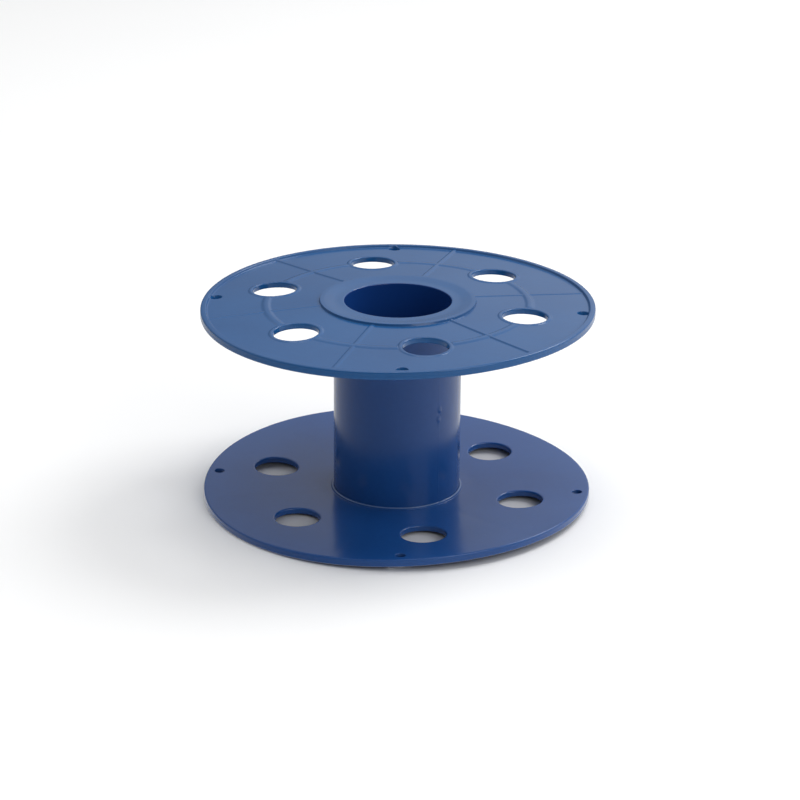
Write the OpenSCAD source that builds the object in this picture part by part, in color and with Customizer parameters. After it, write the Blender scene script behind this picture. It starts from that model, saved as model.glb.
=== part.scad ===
// Flanged line spool: two identical moulded flanges, one of them turned over,
// pressed into the two ends of a plain barrel tube. Millimetres, +Z up, the
// spool stands on the hub face of its lower flange and its axis is the Z axis.

/* [Barrel] */
// Outside diameter of the barrel that the line is wound on
barrel_d = 65.2; // [62:0.2:66]
// Wall thickness of the barrel tube
barrel_wall = 3.1; // [2.4:0.1:3.4]
// Length of the barrel, which is the winding width at the barrel
barrel_len = 98; // [60:1:160]

/* [Flange] */
// Outside diameter of each flange
flange_d = 200; // [196:1:230]
// Thickness of the flange at its rim and at its hub
flange_t = 4; // [3.6:0.1:5]
// Depth of the recessed panel below the rim and hub on the outer face
panel_recess = 1.2; // [0.8:0.1:1.4]
// How far each rim leans in towards the winding space
flange_cone = 2.6; // [0:0.1:4]
// Width of the raised lip round the rim
lip_w = 3.3; // [2:0.1:5]

/* [Hub] */
// Diameter of the bore that fits over a spindle
bore_d = 54.4; // [50:0.2:55]
// Diameter of the raised hub on the outer face
hub_d = 79.4; // [78:0.2:84]
// Diameter of the flat land round the mouth of the bore
land_d = 66; // [60:1:70]
// How far the land lies below the crest of the hub
land_drop = 0.7; // [0:0.1:1]
// Length of the spigot that is pressed into the barrel
spigot_len = 20; // [8:1:28]
// Width of the low collar round the foot of the barrel
collar_w = 1.2; // [0.8:0.1:2]
// Height of the low collar round the foot of the barrel
collar_h = 1.2; // [0.8:0.1:3]

/* [Ribs] */
// Width of each radial rib
rib_w = 2; // [1.2:0.1:4]
// Height of the ribs above the recessed panel
rib_h = 0.6; // [0.4:0.1:1.2]
// Width of the ring rib that joins the drive holes
ring_rib_w = 4.2; // [1.2:0.1:5]

/* [Holes] */
// Number of drive holes in each flange
hole_count = 6; // [6]
// Diameter of each drive hole
hole_d = 22.6; // [12:0.2:26]
// Diameter of the circle that the drive holes lie on
hole_circle_d = 133.6; // [126:0.2:140]
// Angle of the first drive hole from the X axis
hole_phase = 41.7; // [30:0.1:50]
// Width of the low boss round each drive hole
boss_w = 2; // [1:0.1:3]
// Height of the low boss round each drive hole
boss_h = 0.5; // [0.3:0.1:1]
// Diameter of each hole that the line's end is tied through
tie_d = 5; // [3:0.1:5.4]
// Diameter of the circle that the tie holes lie on
tie_circle_d = 187.8; // [186:0.2:190]
// Angle between a tie hole and the nearest drive hole
tie_offset = 10.4; // [8:0.1:14]

/* [Hidden] */
$fn = 96;
spool_blue = [0.09, 0.22, 0.50];
spool_h = barrel_len + 2 * flange_t;
flange_r = flange_d / 2;
hub_r = hub_d / 2;
bore_r = bore_d / 2;
hole_r = hole_d / 2;
barrel_r = barrel_d / 2;
barrel_bore_r = barrel_r - barrel_wall;
hole_circle_r = hole_circle_d / 2;
lip_r = flange_r - lip_w;
edge_r = 0.8;      // rounding of the rim's two edges
tie_sink_w = 0.8;  // width of the countersink round a tie hole
// the tie holes stand beside four of the six drive holes, in mirrored pairs
// about the rib between drive holes 1 and 2, so a turned-over flange matches
tie_angles = [for (s = [0, 180]) for (k = [-1, 1])
    hole_phase + 90 + s + k * (30 + tie_offset)];
hole_angles = [for (i = [0 : hole_count - 1]) hole_phase + i * 360 / hole_count];

// height that the cone adds to the flange at radius r
function lean(r) = r <= hub_r ? 0 : flange_cone * (r - hub_r) / (flange_r - hub_r);

// a band that follows the cone, from height z0 to z1 and radius r0 to r1
module cone_band(r0, r1, z0, z1) {
    rotate_extrude()
        polygon([[r0, z0 + lean(r0)], [r1, z0 + lean(r1)],
                 [r1, z1 + lean(r1)], [r0, z1 + lean(r0)]]);
}

// body of the flange with its outer face down: hub, panel and rim
module flange_body() {
    zr = lean(flange_r);
    rotate_extrude() {
        polygon([
            [bore_r, land_drop + 0.4], [bore_r + 0.4, land_drop],
            [land_d / 2, land_drop], [hub_r - 2.2, 0], [hub_r, 0],
            [hub_r, panel_recess], [lip_r, panel_recess + lean(lip_r)],
            [lip_r, lean(lip_r)], [flange_r - edge_r, lean(flange_r - edge_r)],
            [flange_r, zr + edge_r], [flange_r, zr + flange_t - edge_r],
            [flange_r - edge_r, flange_t + lean(flange_r - edge_r)],
            [hub_r, flange_t], [bore_r, flange_t]]);
        for (z = [zr + edge_r, zr + flange_t - edge_r])
            translate([flange_r - edge_r, z]) circle(r = edge_r, $fn = 32);
    }
}

// spigot that is pressed into the barrel, with a lead-in at its end
module spigot() {
    top = flange_t + spigot_len;
    rotate_extrude()
        polygon([[bore_r, flange_t - 0.5], [barrel_bore_r, flange_t - 0.5],
                 [barrel_bore_r, top - 1.2], [barrel_bore_r - 0.6, top],
                 [bore_r + 0.5, top], [bore_r, top - 0.5]]);
}

// low collar that the barrel's end stands inside, rounded on top
module collar() {
    r1 = barrel_r + collar_w;
    rr = min(collar_w, collar_h) * 0.45;
    rotate_extrude() {
        polygon([[barrel_r, flange_t - 0.5], [r1, flange_t - 0.5],
                 [r1, flange_t + collar_h - rr], [r1 - rr, flange_t + collar_h],
                 [barrel_r, flange_t + collar_h]]);
        translate([r1 - rr, flange_t + collar_h - rr]) circle(r = rr, $fn = 24);
    }
}

module radial_ribs() {
    intersection() {
        cone_band(hub_r - 1, lip_r + 1, panel_recess - rib_h, panel_recess + 0.4);
        for (a = hole_angles)
            rotate([0, 0, a + 180 / hole_count])
                translate([0, -rib_w / 2, -1])
                    cube([flange_r, rib_w, flange_t + flange_cone + 2]);
    }
}

module ring_rib() {
    difference() {
        cone_band(hole_circle_r - ring_rib_w / 2, hole_circle_r + ring_rib_w / 2,
                  panel_recess - rib_h, panel_recess + 0.4);
        at_holes(hole_angles, hole_circle_r)
            translate([0, 0, -1]) cylinder(h = flange_t + 8, r = hole_r + boss_w - 0.2);
    }
}

module hole_bosses() {
    intersection() {
        cone_band(hole_circle_r - hole_r - boss_w - 2, hole_circle_r + hole_r + boss_w + 2,
                  panel_recess - boss_h, panel_recess + 0.4);
        at_holes(hole_angles, hole_circle_r)
            translate([0, 0, -1]) cylinder(h = flange_t + 8, r = hole_r + boss_w);
    }
}

module at_holes(angles, r) {
    for (a = angles) rotate([0, 0, a]) translate([r, 0, 0]) children();
}

// drive hole, opened out a little at the inner face
module drive_hole() {
    z_in = flange_t + lean(hole_circle_r);
    translate([0, 0, -2]) cylinder(h = flange_t + flange_cone + 6, r = hole_r);
    translate([0, 0, z_in - 0.9]) cylinder(h = 3, r1 = hole_r, r2 = hole_r + 3);
}

// hole for the line's end, countersunk on the outer face
module tie_hole() {
    z_out = panel_recess + lean(tie_circle_d / 2);
    translate([0, 0, -2]) cylinder(h = flange_t + flange_cone + 6, r = tie_d / 2);
    translate([0, 0, z_out - 2 + tie_sink_w])
        cylinder(h = 2, r1 = tie_d / 2 + 2, r2 = tie_d / 2);
}

// one flange, outer face down, standing on the crest of its hub
module flange() {
    difference() {
        union() {
            flange_body();
            spigot();
            collar();
            radial_ribs();
            ring_rib();
            hole_bosses();
        }
        at_holes(hole_angles, hole_circle_r) drive_hole();
        at_holes(tie_angles, tie_circle_d / 2) tie_hole();
    }
}

module lower_flange() { color(spool_blue) flange(); }

// the same moulding turned over about the axis of the rib between two holes
module upper_flange() {
    color(spool_blue) translate([0, 0, spool_h]) mirror([0, 0, 1]) flange();
}

// plain tube, bevelled inside each end to start on the spigots
module barrel() {
    z0 = flange_t;
    z1 = flange_t + barrel_len;
    color(spool_blue)
        rotate_extrude()
            polygon([[barrel_bore_r + 0.6, z0], [barrel_r, z0], [barrel_r, z1],
                     [barrel_bore_r + 0.6, z1], [barrel_bore_r, z1 - 0.6],
                     [barrel_bore_r, z0 + 0.6]]);
}

lower_flange();
barrel();
upper_flange();
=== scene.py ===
import bpy, bmesh, math
import numpy as np
from mathutils import Matrix, Vector
from mathutils.geometry import delaunay_2d_cdt


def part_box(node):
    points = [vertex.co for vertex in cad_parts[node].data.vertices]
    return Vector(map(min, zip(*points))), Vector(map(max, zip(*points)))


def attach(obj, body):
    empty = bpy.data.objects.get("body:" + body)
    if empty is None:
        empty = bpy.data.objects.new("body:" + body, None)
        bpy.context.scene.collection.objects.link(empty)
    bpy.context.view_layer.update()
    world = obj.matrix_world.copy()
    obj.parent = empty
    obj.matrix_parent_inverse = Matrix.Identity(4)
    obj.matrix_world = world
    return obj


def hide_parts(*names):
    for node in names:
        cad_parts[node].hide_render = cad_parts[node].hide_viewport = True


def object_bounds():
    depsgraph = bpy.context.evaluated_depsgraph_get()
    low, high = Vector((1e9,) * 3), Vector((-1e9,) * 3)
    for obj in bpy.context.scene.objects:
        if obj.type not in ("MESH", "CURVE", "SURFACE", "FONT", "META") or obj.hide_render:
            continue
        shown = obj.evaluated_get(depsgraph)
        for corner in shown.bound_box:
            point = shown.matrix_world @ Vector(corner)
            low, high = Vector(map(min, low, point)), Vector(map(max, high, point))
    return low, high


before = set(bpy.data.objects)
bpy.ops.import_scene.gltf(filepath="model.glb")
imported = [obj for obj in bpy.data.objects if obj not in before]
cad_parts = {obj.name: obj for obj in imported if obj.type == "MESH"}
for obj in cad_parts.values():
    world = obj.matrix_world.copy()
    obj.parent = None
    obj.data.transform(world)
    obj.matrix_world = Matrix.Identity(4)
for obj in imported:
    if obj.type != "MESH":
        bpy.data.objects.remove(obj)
CAD_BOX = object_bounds()

# ---------------------------------------------------------------- sizes (mm)
LO, HI = (Vector(c) * 1000 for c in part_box("lower_flange"))
BLO, BHI = (Vector(c) * 1000 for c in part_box("barrel"))
R = HI.x                                  # flange radius
H = CAD_BOX[1][2] * 1000                  # overall height
T = BLO.z                                 # flange thickness at rim and hub
BARREL_R = BHI.x
SPIGOT_TOP = HI.z
RECESS, LEAN = 1.2, 2.6                   # panel recess, inward lean of the rim
LIP_W, LIP_R = 3.3, R - 3.3
BORE_R, HUB_R, LAND_R, LAND_DROP = 27.2, 39.7, 33.0, 0.7
SPIGOT_R, COLLAR_W, COLLAR_H = 29.5, 1.2, 1.2
RIB_W, RIB_H, RING_W = 2.0, 0.6, 4.2
HOLE_R, HOLE_C, BOSS_W, BOSS_H = 11.3, 66.8, 2.0, 0.38
TIE_R, TIE_C, FLARE = 2.5, 93.9, 0.5
HOLES = [math.radians(41.7 + 60 * i) for i in range(6)]
RIBS = [math.radians(71.7 + 60 * i) for i in range(6)]
RIB_PART = (0.85, 1.0, 0.45, 0.5, 1.0, 0.45)   # share of RIB_H: three ribs are fainter in the photo
TIES = [math.radians(a) for a in (91.3, 172.1, 271.3, 352.1)]
HOLE_XY = [(HOLE_C * math.cos(a), HOLE_C * math.sin(a)) for a in HOLES]
TIE_XY = [(TIE_C * math.cos(a), TIE_C * math.sin(a)) for a in TIES]
GATE_A, GATE_Z = math.radians(-49.5), 53.0   # moulding gate on the barrel
EDGE = 0.8                                # rounding of the rim's edges
MOUTH = 0.5                               # rounding of the bore's mouth
RO, RI = 0.7, 0.9                         # hole rounding, outer and inner face
WALL = 0.5                                # width over which the hub and lip steps rise
SOFT, SOFT_RING = 1.1, 2.0                # the same for the low ribs, rounded all over


# ------------------------------------------------------------ mesh helpers
def lean(r):
    return LEAN * np.clip(r - HUB_R, 0, None) / (R - HUB_R)


def warp(x, y, saddle_c, saddle_s, tilt_x, tilt_y):
    """how the thin flange has warped: a saddle and a tilt that grow to the rim"""
    r = np.hypot(x, y)
    s = np.clip((r - 40) / 60, 0, None)
    t = np.arctan2(y, x)
    return (saddle_c * np.cos(2 * t) + saddle_s * np.sin(2 * t)) * s * s \
        + (tilt_x * np.cos(t) + tilt_y * np.sin(t)) * s


WARP_LOWER = (-0.88, -1.50, 0.35, 0.99)
WARP_UPPER = (-0.03, -0.615, 0.98, 0.445)


def step(d, w=WALL):
    """1 inside (d < 0), 0 outside, rounded at its top and its foot"""
    t = np.clip(0.5 - d / w, 0, 1)
    return t * t * (3 - 2 * t)


def ramp(t, soft=0.004):
    """0 to 1 as t goes from 0 to 1, with rounded corners"""
    f = lambda v: (np.sqrt(v * v + soft) + v) / 2
    return f(t) - f(t - 1)


def relief(x, y):
    """height of the outer face above the recessed panel"""
    r = np.hypot(x, y)
    slope = LAND_DROP * ramp((r - LAND_R + 1.5) / (HUB_R - 0.7 - LAND_R))
    h = (RECESS - LAND_DROP + slope) * step(r - HUB_R)
    h = np.maximum(h, RECESS * step(LIP_R + 0.2 - r, 1.0))
    near = np.full_like(r, 1e3)
    for cx, cy in HOLE_XY:
        near = np.minimum(near, np.hypot(x - cx, y - cy))
    ring = 0.75 * RIB_H * step(np.abs(r - HOLE_C) - RING_W / 2 + 0.4, SOFT_RING)
    h = np.maximum(h, ring * (1 - step(near - HOLE_R - BOSS_W, SOFT)))
    h = np.maximum(h, BOSS_H * step(near - HOLE_R - BOSS_W, SOFT))
    for a, part in zip(RIBS, RIB_PART):
        u = x * math.cos(a) + y * math.sin(a)
        d = np.abs(-x * math.sin(a) + y * math.cos(a))
        h = np.maximum(h, np.where(u > HUB_R - 0.8, part * RIB_H * step(d - RIB_W / 2, SOFT), 0))
    return h


def z_outer(x, y):
    return lean(np.hypot(x, y)) + RECESS - relief(x, y)


def z_inner(x, y):
    """inner face, with the faint sinks that ribs leave on the other side"""
    r = np.hypot(x, y)
    sink = np.zeros_like(r)
    for a in RIBS:
        u = x * math.cos(a) + y * math.sin(a)
        d = -x * math.sin(a) + y * math.cos(a)
        sink = np.maximum(sink, np.where(u > 0, np.exp(-(d / 2.6) ** 2), 0))
    sink *= np.clip((r - 36) / 6, 0, 1) * np.clip((98 - r) / 6, 0, 1)
    ringsink = np.exp(-((r - HOLE_C) / 2.8) ** 2)
    return T + lean(r) - 0.045 * sink - 0.02 * ringsink


class Plane:
    """points and constraint edges of a flat layout, then its triangles"""

    def __init__(self):
        self.p, self.e = [], []

    def loop(self, cx, cy, r, n):
        s = len(self.p)
        for i in range(n):
            a = 2 * math.pi * i / n
            self.p.append((cx + r * math.cos(a), cy + r * math.sin(a)))
        self.e += [(s + i, s + (i + 1) % n) for i in range(n)]
        return list(range(s, s + n))

    def path(self, pts, keep):
        last = None
        for q in pts:
            if keep(q):
                self.p.append(q)
                if last is not None:
                    self.e.append((last, len(self.p) - 1))
                last = len(self.p) - 1
            else:
                last = None

    def ring(self, r, n, keep):
        pts = [(r * math.cos(2 * math.pi * i / n), r * math.sin(2 * math.pi * i / n))
               for i in range(n + 1)]
        if all(keep(q) for q in pts):
            self.loop(0, 0, r, n)
        else:
            self.path(pts, keep)

    def solve(self, drop):
        v, _, f, ov, _, _ = delaunay_2d_cdt(
            [Vector(q) for q in self.p], self.e, [], 0, 1e-6, True)
        xy = np.array([(q.x, q.y) for q in v])
        where = {}
        for k, src in enumerate(ov):
            for s in src:
                where[s] = k
        tri = [t for t in f if not drop(*xy[list(t)].mean(axis=0))]
        return xy, tri, where


def clear_of(margin_hole, margin_tie):
    def ok(q):
        return all(math.hypot(q[0] - c[0], q[1] - c[1]) > margin_hole for c in HOLE_XY) \
            and all(math.hypot(q[0] - c[0], q[1] - c[1]) > margin_tie for c in TIE_XY)
    return ok


N_RIM, N_HUB, N_HOLE, N_TIE = 480, 240, 96, 64


def face_layout(r_in, hole_r, tie_r, rings, lines, boss_rows):
    """triangles of one face of the flange, with its boundary loops"""
    g = Plane()
    loops = {"in": g.loop(0, 0, r_in, N_HUB), "out": g.loop(0, 0, R - EDGE, N_RIM)}
    for k, c in enumerate(HOLE_XY):
        loops["hole%d" % k] = g.loop(c[0], c[1], hole_r, N_HOLE)
        for dr in boss_rows:
            g.loop(c[0], c[1], dr, N_HOLE)
    for k, c in enumerate(TIE_XY):
        loops["tie%d" % k] = g.loop(c[0], c[1], tie_r, N_TIE)
        g.loop(c[0], c[1], tie_r + 0.35, N_TIE)
    for r, n, mh in rings:
        g.ring(r, n, clear_of(mh, tie_r + 0.45))
    for a, off, r0, r1, n in lines:
        ca, sa = math.cos(a), math.sin(a)
        g.path([(u * ca - off * sa, u * sa + off * ca) for u in np.linspace(r0, r1, n)],
               clear_of(14.5, tie_r + 0.45))
    e1, e2, e3 = (r_in * math.cos(math.pi / N_HUB), hole_r * math.cos(math.pi / N_HOLE),
                  tie_r * math.cos(math.pi / N_TIE))

    def drop(x, y):
        return math.hypot(x, y) < e1 - 1e-5 \
            or any(math.hypot(x - c[0], y - c[1]) < e2 - 1e-5 for c in HOLE_XY) \
            or any(math.hypot(x - c[0], y - c[1]) < e3 - 1e-5 for c in TIE_XY)
    xy, tri, where = g.solve(drop)
    return xy, tri, {k: [where[i] for i in v] for k, v in loops.items()}


def around(lo, hi, n=6):
    """rows across a step: guard, foot to head, guard"""
    m = (lo + hi) / 2
    return [lo - 0.25] + list(np.linspace(lo, hi, n)) + [hi + 0.25]


class Solid:
    def __init__(self):
        self.v, self.f = [], []

    def add(self, pts):
        s = len(self.v)
        self.v += [tuple(map(float, p)) for p in pts]
        return list(range(s, s + len(pts)))

    def strip(self, a, b):
        n = len(a)
        self.f += [(a[i], a[(i + 1) % n], b[(i + 1) % n], b[i]) for i in range(n)]

    def sweep(self, first, profile, last=None):
        """quads from the loop `first` through circles (r, z) to the loop `last`"""
        n = len(first)
        prev = first
        for r, z in profile:
            cur = self.add([(r * math.cos(2 * math.pi * i / n),
                             r * math.sin(2 * math.pi * i / n), z) for i in range(n)])
            self.strip(prev, cur)
            prev = cur
        if last is not None:
            self.strip(prev, last)
        return prev


def arc(cx, cz, r, a0, a1, n):
    return [(cx + r * math.cos(math.radians(a)), cz + r * math.sin(math.radians(a)))
            for a in np.linspace(a0, a1, n)]


def finish_mesh(name, verts, faces, material, body, node, flip=False):
    me = bpy.data.meshes.new(name)
    if flip:
        faces = [tuple(reversed(f)) for f in faces]
    me.from_pydata([(x / 1000, y / 1000, z / 1000) for x, y, z in verts], [], faces)
    me.validate()
    # merge the few points of the layout that fall on each other
    b = bmesh.new()
    b.from_mesh(me)
    bmesh.ops.remove_doubles(b, verts=b.verts, dist=2e-6)
    b.to_mesh(me)
    b.free()
    me.update()
    ob = bpy.data.objects.new(name, me)
    bpy.context.scene.collection.objects.link(ob)
    me.polygons.foreach_set("use_smooth", [True] * len(me.polygons))
    me.set_sharp_from_angle(angle=math.radians(42))
    me.materials.append(material)
    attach(ob, body)
    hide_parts(node)
    return ob


# ------------------------------------------------------------- the flange
def build_flange():
    step_rows = lambda c: list(np.linspace(c - WALL / 2, c + WALL / 2, 6))
    rings = []
    for r in (28.3, 30.2, 32.2, 32.7, 33.0, 33.3, 33.8, 35.2, 36.6, 37.1, 37.4, 37.7, 38.1,
              38.8, 39.2, *step_rows(HUB_R), 40.2, 40.8):
        rings.append((r, N_HUB, 0))
    for r in (43.5, 47.5, 52.0):
        rings.append((r, 160, 0))
    for r in (56.5, 60.5, 73, 77):
        rings.append((r, 200, 14.2))
    for r in (81.5, 86, 90.5):
        rings.append((r, 240, 0))
    for r in (*np.linspace(-3.0, -0.8, 8), 0, *np.linspace(0.8, 3.0, 8)):
        rings.append((HOLE_C + r, 360, 14.0))
    for r in (95.2, 96.0, *np.linspace(LIP_R - 0.3, LIP_R + 0.75, 9), 97.8, 98.6):
        rings.append((r, N_RIM, 0))
    lines = []
    for a in RIBS:
        for d in (0.25, *np.linspace(0.45, 1.55, 8), 1.8, 2.4):
            for s in (-1, 1):
                lines.append((a, s * d, HUB_R - 0.3, LIP_R + 0.5, 44))
        lines.append((a, 0, HUB_R - 0.3, LIP_R + 0.5, 44))
    boss = [12.25, *np.linspace(HOLE_R + BOSS_W - SOFT / 2, HOLE_R + BOSS_W + SOFT / 2, 8), 14.2]
    oxy, otri, oloop = face_layout(BORE_R + MOUTH, HOLE_R + RO, TIE_R + FLARE + 0.3, rings, lines, boss)

    rings = [(r, N_HUB, 0) for r in (34.5, 35.5, 37, 40, 44, 48, 52)]
    rings += [(r, 240, 12.9) for r in (56, 60, 63, 65, 66.8, 68.6, 70.6, 73.5, 77.5)]
    rings += [(r, 300, 0) for r in (82, 86.5, 90.5, 95)] + [(98.4, N_RIM, 0)]
    lines = [(a, d, 36, 96, 22) for a in RIBS for d in (-6, -4, -2.6, -1.3, 0, 1.3, 2.6, 4, 6)]
    ixy, itri, iloop = face_layout(BARREL_R + COLLAR_W + 0.3, HOLE_R + RI, TIE_R + 0.35,
                                   rings, lines, [12.6, 13.3])

    m = Solid()
    oid = m.add(np.column_stack([oxy, z_outer(oxy[:, 0], oxy[:, 1])]))
    iid = m.add(np.column_stack([ixy, z_inner(ixy[:, 0], ixy[:, 1])]))
    m.f += [tuple(oid[k] for k in t) for t in otri]
    m.f += [tuple(iid[k] for k in reversed(t)) for t in itri]
    O = {k: [oid[i] for i in v] for k, v in oloop.items()}
    I = {k: [iid[i] for i in v] for k, v in iloop.items()}

    # bore, spigot and collar
    zl = LAND_DROP
    prof = arc(BORE_R + MOUTH, zl + MOUTH, MOUTH, -108, -180, 5)
    prof += [(BORE_R, z) for z in np.linspace(2, SPIGOT_TOP - 0.5, 8)]
    prof += arc(BORE_R + 0.4, SPIGOT_TOP - 0.4, 0.4, 155, 90, 4)
    prof += [(SPIGOT_R - 0.75, SPIGOT_TOP), (SPIGOT_R - 0.6, SPIGOT_TOP - 0.05),
             (SPIGOT_R - 0.05, SPIGOT_TOP - 1.1), (SPIGOT_R, SPIGOT_TOP - 1.3)]
    prof += [(SPIGOT_R, T + 0.4), (SPIGOT_R, T), (BARREL_R, T)]
    zc, rc = T + COLLAR_H, BARREL_R + COLLAR_W
    prof += [(BARREL_R, zc - 0.25)] + arc(BARREL_R + 0.22, zc - 0.22, 0.22, 170, 95, 4)
    prof += arc(rc - 0.55, zc - 0.55, 0.55, 85, 0, 6)
    prof += [(rc, T + 0.35)] + arc(rc + 0.3, T + 0.3, 0.3, -170, -100, 4)
    m.sweep(O["in"], prof, I["in"])

    # rim
    zr = float(lean(np.array(R)))
    z0 = float(lean(np.array(R - EDGE)))
    prof = arc(R - EDGE, zr + EDGE, EDGE, -72, 0, 6)
    prof += [(R, zr + 1.5), (R, zr + 1.93), (R - 0.035, zr + 2.0), (R, zr + 2.07), (R, zr + 2.6)]
    prof += arc(R - EDGE, zr + T - EDGE, EDGE, 0, 72, 6)
    k = len(m.f)
    m.sweep(O["out"], prof, I["out"])
    m.f[k:] = [tuple(reversed(q)) for q in m.f[k:]]

    # drive holes and tie holes
    def hole(c, r, n, outer, inner, ro, ri, flare=0):
        ang = [2 * math.pi * i / n for i in range(n)]
        zo = [m.v[k][2] for k in outer]
        zi = [m.v[k][2] for k in inner]
        rows = []
        for t in (18, 36, 54, 72, 90):
            t = math.radians(t)
            rows.append((r + flare + ro * (1 - math.sin(t)),
                         [z + ro * (1 - math.cos(t)) for z in zo]))
        if flare:
            rows.append((r, [z + 1.5 for z in zo]))
        for t in (90, 72, 54, 36, 18):
            t = math.radians(t)
            rows.append((r + ri * (1 - math.sin(t)), [z - ri * (1 - math.cos(t)) for z in zi]))
        prev = outer
        for rr, zz in rows:
            cur = m.add([(c[0] + rr * math.cos(a), c[1] + rr * math.sin(a), z)
                         for a, z in zip(ang, zz)])
            m.strip(prev, cur)
            prev = cur
        m.strip(prev, inner)

    for k, c in enumerate(HOLE_XY):
        hole(c, HOLE_R, N_HOLE, O["hole%d" % k], I["hole%d" % k], RO, RI)
    for k, c in enumerate(TIE_XY):
        hole(c, TIE_R, N_TIE, O["tie%d" % k], I["tie%d" % k], 0.3, 0.35, FLARE)
    return m


# ---------------------------------------------------------------- material
def plastic(name, seed, base, inner):
    mt = bpy.data.materials.new(name)
    mt.use_nodes = True
    nt = mt.node_tree
    nt.nodes.clear()
    N = lambda t, **k: _node(nt, t, **k)
    out = N("ShaderNodeOutputMaterial")
    bs = N("ShaderNodeBsdfPrincipled")
    nt.links.new(bs.outputs[0], out.inputs[0])
    bs.inputs["IOR"].default_value = 1.46
    tc = N("ShaderNodeTexCoord")
    mp = N("ShaderNodeMapping")
    mp.inputs["Location"].default_value = (seed * 0.37, seed * 0.11, seed * 0.23)
    nt.links.new(tc.outputs["Object"], mp.inputs["Vector"])

    def noise(scale, detail, rough=0.5, vec=None):
        n = N("ShaderNodeTexNoise")
        n.inputs["Scale"].default_value = scale
        n.inputs["Detail"].default_value = detail
        n.inputs["Roughness"].default_value = rough
        nt.links.new(vec or mp.outputs[0], n.inputs["Vector"])
        return n.outputs["Fac"]

    def remap(src, a, b, c, d):
        m = N("ShaderNodeMapRange")
        m.inputs["From Min"].default_value = a
        m.inputs["From Max"].default_value = b
        m.inputs["To Min"].default_value = c
        m.inputs["To Max"].default_value = d
        nt.links.new(src, m.inputs["Value"])
        return m.outputs["Result"]

    def math_(op, a, b):
        m = N("ShaderNodeMath", operation=op)
        for k, s in enumerate((a, b)):
            if isinstance(s, (int, float)):
                m.inputs[k].default_value = s
            else:
                nt.links.new(s, m.inputs[k])
        return m.outputs[0]

    cloud = noise(22, 3)
    speck = noise(420, 2)
    # colour: soft clouding of the pigment, a trace of fine speckle
    ramp_ = N("ShaderNodeValToRGB")
    ramp_.color_ramp.elements[0].position = 0.3
    ramp_.color_ramp.elements[1].position = 0.72
    ramp_.color_ramp.elements[0].color = (base[0] * 0.86, base[1] * 0.9, base[2] * 0.92, 1)
    ramp_.color_ramp.elements[1].color = (base[0] * 1.2, base[1] * 1.1, base[2] * 1.07, 1)
    tone = math_("ADD", math_("MULTIPLY", cloud, 0.8), math_("MULTIPLY", speck, 0.2))
    nt.links.new(tone, ramp_.inputs["Fac"])
    # scuffs: pale, short and sparse
    stretch = N("ShaderNodeMapping")
    stretch.inputs["Scale"].default_value = (1, 14, 6)
    stretch.inputs["Rotation"].default_value = (0.3, 0.5, 0.8 + seed)
    nt.links.new(mp.outputs[0], stretch.inputs["Vector"])
    scr = noise(60, 6, 0.75, stretch.outputs[0])
    scr = remap(scr, 0.66, 0.78, 0, 1)
    patch = remap(noise(9, 2), 0.5, 0.75, 0, 1)
    scuff = math_("MULTIPLY", scr, patch)
    # one pale colour for the scuffs (wear) and for the painted highlight on the collar
    scuff_and_highlight_mix = N("ShaderNodeMix", data_type="RGBA")
    scuff_and_highlight_mix.inputs["B"].default_value = (0.16, 0.24, 0.40, 1)
    # painted highlight: a light line painted along the top of the collar where a lamp's glint would
    # fall; pale line along the collar's top edge, as in the photo (its cause is a guess)
    sep = N("ShaderNodeSeparateXYZ")
    nt.links.new(tc.outputs["Object"], sep.inputs[0])
    radius = math_("POWER", math_("ADD", math_("POWER", sep.outputs[0], 2.0),
                                  math_("POWER", sep.outputs[1], 2.0)), 0.5)
    off = math_("ABSOLUTE", math_("SUBTRACT", radius, 0.0336), 0.0)
    end = math_("ABSOLUTE", math_("SUBTRACT", sep.outputs[2], H / 2000), 0.0)
    collar_glint_paint = math_("MULTIPLY", remap(off, 0.0003, 0.0008, 1, 0), remap(end, 0.0480, 0.0484, 1, 0))
    collar_glint_paint = math_("MULTIPLY", collar_glint_paint, remap(end, 0.0470, 0.0474, 0, 1))
    # mix factor: scuffs (real wear) plus the painted collar highlight
    pale = math_("ADD", math_("MULTIPLY", scuff, 0.10), math_("MULTIPLY", collar_glint_paint, 0.5))
    nt.links.new(pale, scuff_and_highlight_mix.inputs["Factor"])
    nt.links.new(ramp_.outputs["Color"], scuff_and_highlight_mix.inputs["A"])
    # painted shade: a darker, deeper blue painted inside the bore, where little light reaches, chosen
    # to match how dark the bore looks
    bore_painted_shade = N("ShaderNodeMix", data_type="RGBA")
    bore_painted_shade.inputs["B"].default_value = (base[0] * 0.8, base[1] * 0.55, base[2] * 0.85, 1)
    nt.links.new(remap(radius, inner, inner + 0.0003, 1, 0), bore_painted_shade.inputs["Factor"])
    nt.links.new(scuff_and_highlight_mix.outputs["Result"], bore_painted_shade.inputs["A"])
    nt.links.new(bore_painted_shade.outputs["Result"], bs.inputs["Base Color"])
    # gloss: uneven, duller in clouds and on scuffs
    rough = remap(noise(34, 4, 0.6), 0.3, 0.75, 0.15, 0.22)
    rough = math_("ADD", rough, math_("MULTIPLY", scuff, 0.10))
    rough = math_("ADD", rough, math_("MULTIPLY", speck, 0.03))
    nt.links.new(rough, bs.inputs["Roughness"])
    # surface: slow waviness of the moulding, fine grain
    b1 = N("ShaderNodeBump")
    b1.inputs["Strength"].default_value = 0.12
    b1.inputs["Distance"].default_value = 0.0005
    nt.links.new(noise(38, 2), b1.inputs["Height"])
    b2 = N("ShaderNodeBump")
    b2.inputs["Strength"].default_value = 0.12
    b2.inputs["Distance"].default_value = 0.00003
    nt.links.new(noise(1800, 2), b2.inputs["Height"])
    nt.links.new(b1.outputs[0], b2.inputs["Normal"])
    nt.links.new(b2.outputs[0], bs.inputs["Normal"])
    return mt


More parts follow.
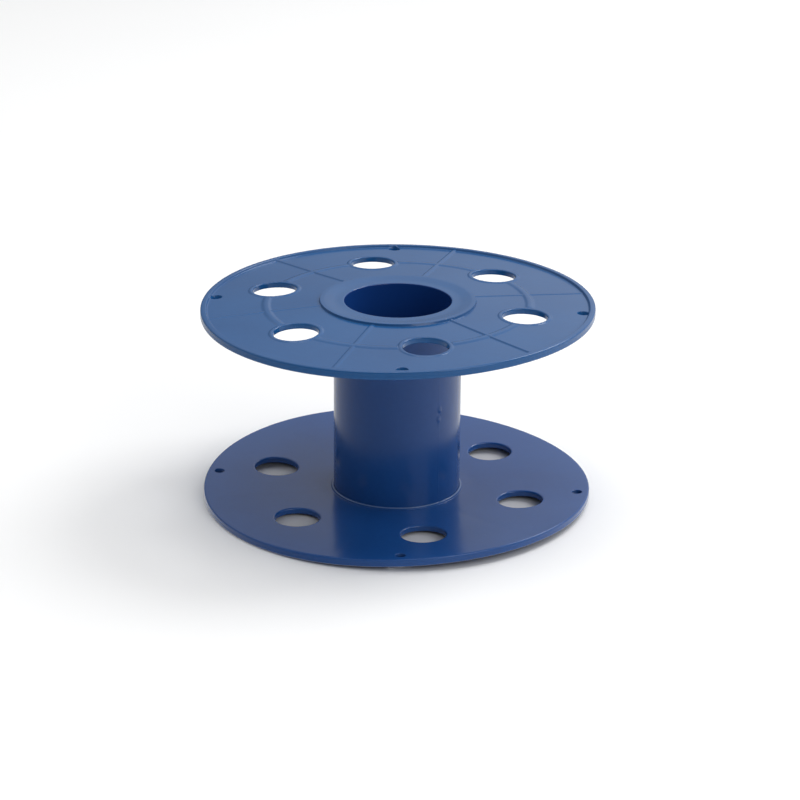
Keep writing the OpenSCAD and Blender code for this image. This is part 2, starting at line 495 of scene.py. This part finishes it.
def _node(nt, kind, **k):
    n = nt.nodes.new(kind)
    for a, v in k.items():
        setattr(n, a, v)
    return n


# ------------------------------------------------------------------ pieces
flange = build_flange()
P = np.array(flange.v)
low = P.copy()
low[:, 2] += warp(P[:, 0], P[:, 1], *WARP_LOWER)
# the collar has a small nick where the barrel's parting line meets it
a = np.arctan2(P[:, 1], P[:, 0])
nick = np.exp(-(((a - GATE_A) * BARREL_R) / 0.6) ** 2) \
    * (np.hypot(P[:, 0], P[:, 1]) > BARREL_R + 0.3) * (np.hypot(P[:, 0], P[:, 1]) < 34.6) \
    * np.clip((P[:, 2] - T - 0.35) / 0.4, 0, 1)
low[:, 2] -= 0.45 * nick
top = P.copy()
top[:, 2] = H - P[:, 2] + warp(P[:, 0], P[:, 1], *WARP_UPPER)
lower = finish_mesh("lower_flange_moulding", low, flange.f,
                    plastic("plastic_lower", 1, (0.009, 0.064, 0.240), 0.0273),
                    "root", "lower_flange", flip=True)
# painted light: the upper flange's base colour is greener than the lower flange's, standing in for the
# cyan-tinted light that falls on its top face
upper = finish_mesh("upper_flange_moulding", top, flange.f,
                    plastic("plastic_upper", 2, (0.009, 0.079, 0.238), 0.0273),
                    "root", "upper_flange")


def barrel_skin(a, z):
    """the two pips of the moulding gate and the mould's parting line, above the barrel's face"""
    d = (np.asarray(a) - GATE_A + math.pi) % (2 * math.pi) - math.pi
    u, v = BARREL_R * d, z - GATE_Z
    pip = lambda du, dv, h: h * np.exp(-(((u - du) / 1.15) ** 2 + ((v - dv) / 1.7) ** 2) ** 1.4)
    pips = pip(0.3, 2.5, 0.30) + pip(-0.3, -2.7, 0.30) - pip(0, -0.1, 0.10)
    line = 0.05 * np.exp(-(u / 0.22) ** 2) * np.clip((np.abs(v) - 5.5) / 1.5, 0, 1)
    back = 0.05 * np.exp(-((np.pi - np.abs(d)) * BARREL_R / 0.22) ** 2)
    return pips + line + back


def build_barrel():
    m = Solid()
    z0, z1, ri, ro, e = BLO.z, BHI.z, SPIGOT_R, BARREL_R, 0.25
    ang = set(np.round(np.radians(np.arange(0, 360, 1.5)), 6))
    for c, w, k in ((GATE_A, 7.0, 70), (GATE_A + math.pi, 1.0, 10)):
        ang |= set(np.round((c + np.radians(np.linspace(-w, w, k + 1))) % (2 * math.pi), 6))
    ang = np.array(sorted(ang))
    ang = ang[np.concatenate([[True], np.diff(ang) > 5e-4])]
    zs = sorted(set(np.linspace(z0 + 1.5, z1 - 1.5, 24)) | set(np.arange(48.5, 57.6, 0.25)))
    prof = [(r, z, 0) for r, z in arc(ro - e, z0 + e, e, -90, 0, 4)]
    prof += [(ro, z, 1) for z in zs]
    prof += [(r, z, 0) for r, z in arc(ro - e, z1 - e, e, 0, 90, 4)]
    prof += [(ri + 0.6, z1, 0), (ri, z1 - 0.6, 0)]
    prof += [(ri, z, 0) for z in np.linspace(z1 - 3, z0 + 3, 12)]
    prof += [(ri, z0 + 0.6, 0), (ri + 0.6, z0, 0)]
    loops = []
    for r, z, skin in prof:
        rr = r + (barrel_skin(ang, z) if skin else 0 * ang)
        loops.append(m.add(np.column_stack([rr * np.cos(ang), rr * np.sin(ang), z + 0 * ang])))
    for k in range(len(loops)):
        m.strip(loops[k], loops[(k + 1) % len(loops)])
    return m


bm = build_barrel()
barrel = finish_mesh("barrel_tube", bm.v, bm.f, plastic("plastic_barrel", 3, (0.009, 0.061, 0.229), 0.0302), "root", "barrel")

# ------------------------------------------------------------------- stage
def floor_material():
    """pale paper, with painted shade: its colour is darker right under the spool, where no light falls
    on it
    """
    mt = bpy.data.materials.new("floor_paper")
    mt.use_nodes = True
    nt = mt.node_tree
    bs = nt.nodes["Principled BSDF"]
    bs.inputs["Roughness"].default_value = 0.9
    bs.inputs["Specular IOR Level"].default_value = 0.1
    tc = _node(nt, "ShaderNodeTexCoord")
    n = _node(nt, "ShaderNodeTexNoise")
    n.inputs["Scale"].default_value = 3
    nt.links.new(tc.outputs["Object"], n.inputs["Vector"])
    r = _node(nt, "ShaderNodeValToRGB")
    r.color_ramp.elements[0].color = (0.91, 0.91, 0.91, 1)
    r.color_ramp.elements[1].color = (0.93, 0.93, 0.93, 1)
    nt.links.new(n.outputs["Fac"], r.inputs["Fac"])
    d = _node(nt, "ShaderNodeVectorMath", operation="LENGTH")
    nt.links.new(tc.outputs["Object"], d.inputs[0])
    m = _node(nt, "ShaderNodeMapRange")
    for k, v in (("From Min", 0.089), ("From Max", 0.101), ("To Min", 0.0), ("To Max", 1.0)):
        m.inputs[k].default_value = v
    nt.links.new(d.outputs["Value"], m.inputs["Value"])
    # painted shade: grey paper colour under the spool, blending into the pale paper between 89 and 101
    # mm from the axis
    x = _node(nt, "ShaderNodeMix", data_type="RGBA")
    x.inputs["A"].default_value = (0.52, 0.52, 0.53, 1)
    nt.links.new(m.outputs["Result"], x.inputs["Factor"])
    nt.links.new(r.outputs["Color"], x.inputs["B"])
    nt.links.new(x.outputs["Result"], bs.inputs["Base Color"])
    return mt


def floor_piece(name, verts, faces, material, mirrored):
    me = bpy.data.meshes.new(name)
    me.from_pydata(verts, [], faces)
    ob = bpy.data.objects.new(name, me)
    bpy.context.scene.collection.objects.link(ob)
    me.materials.append(material)
    ob.visible_glossy = mirrored
    return ob


paper = floor_material()
NF, SEAM, FAR = 96, 0.097, 6.0
circle = [(math.cos(2 * math.pi * i / NF), math.sin(2 * math.pi * i / NF)) for i in range(NF)]
floor_piece("floor_near", [(SEAM * c, SEAM * q, 0) for c, q in circle], [tuple(range(NF))],
            paper, True)
floor_piece("floor_far", [(k * c, k * q, 0) for k in (SEAM, FAR) for c, q in circle],
            [(i, NF + i, NF + (i + 1) % NF, (i + 1) % NF) for i in range(NF)], paper, False)

world = bpy.data.worlds.new("studio")
bpy.context.scene.world = world
world.use_nodes = True
wt = world.node_tree
bg = wt.nodes["Background"]
bg.inputs["Color"].default_value = (0.99, 0.995, 1.0, 1)


def wmath(op, a, b):
    n = _node(wt, "ShaderNodeMath", operation=op)
    for k, v in enumerate((a, b)):
        if isinstance(v, (int, float)):
            n.inputs[k].default_value = v
        else:
            wt.links.new(v, n.inputs[k])
    return n.outputs[0]


def wmap(src, a, b, c, d):
    n = _node(wt, "ShaderNodeMapRange")
    for k, v in (("From Min", a), ("From Max", b), ("To Min", c), ("To Max", d)):
        n.inputs[k].default_value = v
    wt.links.new(src, n.inputs["Value"])
    return n.outputs["Result"]


# a room that is brighter on one side and darker overhead and in front
tcw = _node(wt, "ShaderNodeTexCoord")
sep = _node(wt, "ShaderNodeSeparateXYZ")
wt.links.new(tcw.outputs["Generated"], sep.inputs[0])
DX, DY, DZ = sep.outputs
low_sky = wmath("ADD", wmath("MULTIPLY", DX, 1.8), 0.585)
low_sky = wmath("MINIMUM", wmath("MAXIMUM", low_sky, 0.30), 0.85)
high = wmap(DZ, 0.38, 0.55, 0.0, 1.0)
sky = wmath("ADD", wmath("MULTIPLY", low_sky, wmath("SUBTRACT", 1.0, high)),
            wmath("MULTIPLY", high, wmap(DX, -0.6, 0.6, 0.80, 0.85)))
sky = wmath("MULTIPLY", sky, wmap(DY, -0.5, 0.1, 0.5, 1.0))
sky = wmath("MULTIPLY", sky, wmap(DZ, 0.05, 0.31, 0.42, 1.0))
ground = wmath("ADD", wmap(DY, -1.0, 0.25, 0.46, 0.93), wmath("MULTIPLY", DX, 0.27))
up = wmap(DZ, -0.03, 0.03, 0.0, 1.0)
both = wmath("ADD", wmath("MULTIPLY", sky, up),
             wmath("MULTIPLY", ground, wmath("SUBTRACT", 1.0, up)))
wt.links.new(both, bg.inputs["Strength"])


def area(name, at, aim, size, power, color=(1, 1, 1)):
    l = bpy.data.lights.new(name, "AREA")
    l.shape = "DISK"
    l.size = size
    l.energy = power
    l.color = color
    o = bpy.data.objects.new(name, l)
    bpy.context.scene.collection.objects.link(o)
    o.location = at
    o.rotation_euler = (Vector(aim) - Vector(at)).to_track_quat("-Z", "Y").to_euler()
    return o


area("key", (1.3, 0.8, 1.7), (0, 0, 0.05), 1.2, 22)
area("fill", (1.0, -1.2, 0.9), (0, 0, 0.05), 1.2, 8)
area("top", (0.0, 0.2, 2.3), (0, 0, 0), 1.6, 12)



# ------------------------------------------------------------------ camera
f_px, cam_d, cam_h, yaw, pitch, roll = 2521.5083, 12.1127, 4.0706, 0.0012, 0.3639, 0.0083
cd = bpy.data.cameras.new("camera")
cam = bpy.data.objects.new("camera", cd)
bpy.context.scene.collection.objects.link(cam)
cd.sensor_width = 36
cd.lens = f_px / 800 * 36
fwd = Vector((math.sin(yaw) * math.cos(pitch), math.cos(yaw) * math.cos(pitch), -math.sin(pitch)))
right = Vector((math.cos(yaw), -math.sin(yaw), 0))
up = right.cross(fwd)
right, up = (math.cos(roll) * right + math.sin(roll) * up,
             -math.sin(roll) * right + math.cos(roll) * up)
eye = Vector((0, -cam_d * 0.1, (H - 0.65) / 1000 + cam_h * 0.1))
mw = Matrix((right, up, -fwd)).transposed().to_4x4()
mw.translation = eye
cam.matrix_world = mw
bpy.context.scene.camera = cam
bpy.context.scene.view_settings.view_transform = "Standard"
bpy.context.scene.view_settings.look = "None"
